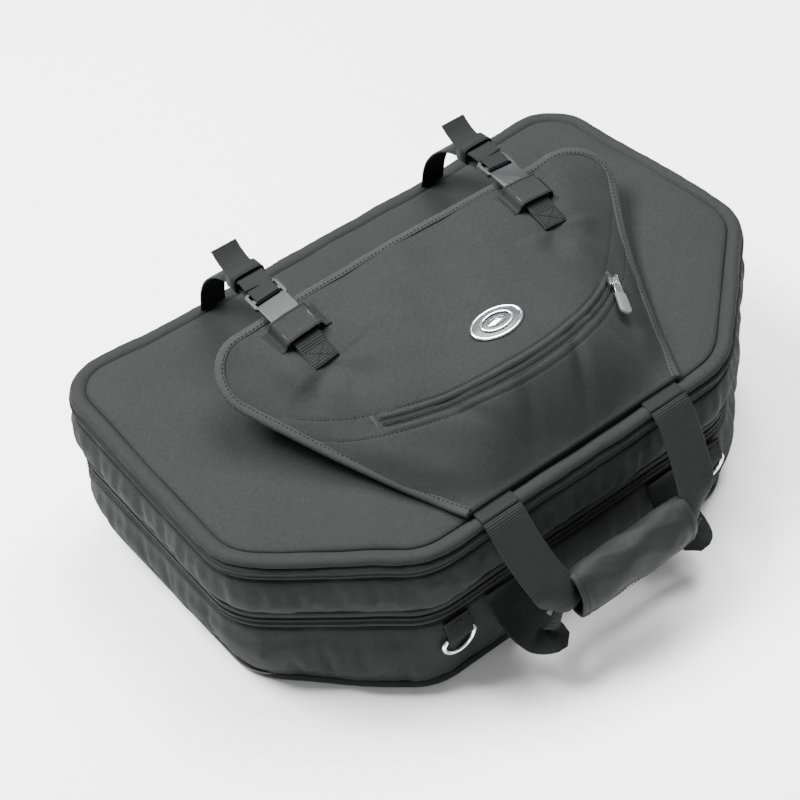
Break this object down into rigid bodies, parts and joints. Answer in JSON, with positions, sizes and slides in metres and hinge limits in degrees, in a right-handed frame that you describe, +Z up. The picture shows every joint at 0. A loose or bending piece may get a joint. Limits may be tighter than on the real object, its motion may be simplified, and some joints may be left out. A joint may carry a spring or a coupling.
{
  "type": "motorcycle tail bag",
  "caption": "Soft chamfered tail bag with two zipped levels, a padded lid, a buckled cargo flap, a padded carry handle and lashing rings.",
  "frame": {"origin": "centre of the flat underside that the bag rests on", "axes": "+Z up; -Y is the front, with the carry handle; X runs along the front, left to right seen from the front"},
  "size_m": [0.5713, 0.431, 0.259],
  "materials": {
    "fabric": "matt woven ballistic nylon",
    "trim": "ribbed binding tape",
    "zip_tape": "knitted zip tape with a nylon coil",
    "webbing": "ribbed nylon webbing",
    "board": "matt",
    "buckle_plastic": "satin moulded acetal",
    "chrome": "polished plating",
    "badge_enamel": "gloss enamel",
    "pull_rubber": "satin moulded rubber"
  },
  "bodies": {
    "base": {"bottom_panel": "fabric", "bottom_piping": "trim", "base_board": "board", "lower_wall": "fabric", "middle_zip_lower_tape": "zip_tape", "ring_tab_front_left": "webbing", "ring_tab_front_right": "webbing", "ring_tab_rear_left": "webbing", "ring_tab_rear_right": "webbing"},
    "upper_case": {"middle_zip_upper_tape": "zip_tape", "upper_wall": "fabric", "upper_zip_lower_tape": "zip_tape"},
    "lid": {"upper_zip_upper_tape": "zip_tape", "lid_piping": "trim", "lid_board": "board", "lid_panel": "fabric", "handle_anchor_left": "webbing", "handle_anchor_right": "webbing"},
    "flap": {"flap_panel": "fabric", "flap_binding": "trim", "pocket_zip_tape": "zip_tape", "badge_rim": "chrome", "badge_plate": "badge_enamel", "flap_tab_left": "webbing", "buckle_socket_left": "buckle_plastic", "buckle_keeper_left": "fabric", "flap_tab_right": "webbing", "buckle_socket_right": "buckle_plastic", "buckle_keeper_right": "fabric"},
    "strap_left": {"rear_strap_left": "webbing", "strap_tail_left": "webbing", "tail_loop_left": "webbing", "buckle_plug_left": "buckle_plastic"},
    "strap_right": {"rear_strap_right": "webbing", "strap_tail_right": "webbing", "tail_loop_right": "webbing", "buckle_plug_right": "buckle_plastic"},
    "upper_handle": {"handle_upper_strap": "webbing", "handle_grip": "fabric"},
    "lower_handle": {"handle_lower_strap": "webbing"},
    "ring_front_left": {"lashing_ring_front_left": "chrome"},
    "ring_front_right": {"lashing_ring_front_right": "chrome"},
    "ring_rear_left": {"lashing_ring_rear_left": "chrome"},
    "ring_rear_right": {"lashing_ring_rear_right": "chrome"},
    "pocket_slider": {"pocket_zip_slider": "chrome"},
    "pocket_pull": {"pocket_zip_pull": "chrome", "pocket_zip_pull_grip": "pull_rubber"},
    "middle_slider": {"middle_zip_slider": "chrome"},
    "middle_pull": {"middle_zip_pull": "chrome", "middle_zip_pull_grip": "pull_rubber"},
    "upper_slider": {"upper_zip_slider": "chrome"},
    "upper_pull": {"upper_zip_pull": "chrome", "upper_zip_pull_grip": "pull_rubber"}
  },
  "joints": [
    {"name": "upper_case_hinge", "type": "hinge", "parent": "base", "child": "upper_case", "pos_m": [0, 0.1775, 0.094], "axis": [-1, 0, 0], "range_deg": [0, 80]},
    {"name": "lid_hinge", "type": "hinge", "parent": "upper_case", "child": "lid", "pos_m": [0, 0.1775, 0.153], "axis": [-1, 0, 0], "range_deg": [0, 85]},
    {"name": "flap_hinge", "type": "hinge", "parent": "lid", "child": "flap", "pos_m": [0, -0.165, 0.17], "axis": [1, 0, 0], "range_deg": [0, 105], "deforming": ["buckle_plug_left", "buckle_plug_right"]},
    {"name": "strap_left_hinge", "type": "hinge", "parent": "lid", "child": "strap_left", "pos_m": [-0.122, 0.168, 0.169], "axis": [-1, 0, 0], "range_deg": [0, 70], "deforming": ["buckle_plug_left"]},
    {"name": "strap_right_hinge", "type": "hinge", "parent": "lid", "child": "strap_right", "pos_m": [0.122, 0.168, 0.169], "axis": [-1, 0, 0], "range_deg": [0, 70], "deforming": ["buckle_plug_right"]},
    {"name": "upper_handle_hinge", "type": "hinge", "parent": "lid", "child": "upper_handle", "pos_m": [0, -0.176, 0.167], "axis": [-1, 0, 0], "range_deg": [0, 40]},
    {"name": "lower_handle_hinge", "type": "hinge", "parent": "base", "child": "lower_handle", "pos_m": [0, -0.1768, 0.08], "axis": [-1, 0, 0], "range_deg": [0, 20]},
    {"name": "ring_front_left_hinge", "type": "hinge", "parent": "base", "child": "ring_front_left", "pos_m": [-0.14, -0.1804, 0.063], "axis": [-1, 0, 0], "range_deg": [0, 100]},
    {"name": "ring_front_right_hinge", "type": "hinge", "parent": "base", "child": "ring_front_right", "pos_m": [0.14, -0.1804, 0.063], "axis": [-1, 0, 0], "range_deg": [0, 100]},
    {"name": "ring_rear_left_hinge", "type": "hinge", "parent": "base", "child": "ring_rear_left", "pos_m": [-0.14, 0.1804, 0.063], "axis": [1, 0, 0], "range_deg": [0, 100]},
    {"name": "ring_rear_right_hinge", "type": "hinge", "parent": "base", "child": "ring_rear_right", "pos_m": [0.14, 0.1804, 0.063], "axis": [1, 0, 0], "range_deg": [0, 100]},
    {"name": "pocket_slider_slide", "type": "slide", "parent": "flap", "child": "pocket_slider", "axis": [-0.7943, -0.5583, 0.2395], "range_m": [0, 0.03]},
    {"name": "pocket_pull_hinge", "type": "hinge", "parent": "pocket_slider", "child": "pocket_pull", "pos_m": [0.12089, -0.07669, 0.21496], "axis": [0.7573, -0.3833, -0.5288], "range_deg": [-100, 0]},
    {"name": "middle_slider_slide", "type": "slide", "parent": "base", "child": "middle_slider", "axis": [0, -1, 0], "range_m": [0, 0.14]},
    {"name": "middle_pull_hinge", "type": "hinge", "parent": "middle_slider", "child": "middle_pull", "pos_m": [0.2845, 0.096, 0.094], "axis": [0, 1, 0], "range_deg": [-100, 0]},
    {"name": "upper_slider_slide", "type": "slide", "parent": "upper_case", "child": "upper_slider", "axis": [0, -1, 0], "range_m": [0, 0.14]},
    {"name": "upper_pull_hinge", "type": "hinge", "parent": "upper_slider", "child": "upper_pull", "pos_m": [0.2863, 0.096, 0.1512], "axis": [0, 1, 0], "range_deg": [-100, 0]}
  ],
  "couplings": [
    {"joint": "lower_handle_hinge", "follows": "upper_handle_hinge", "ratio": 0.5}
  ]
}
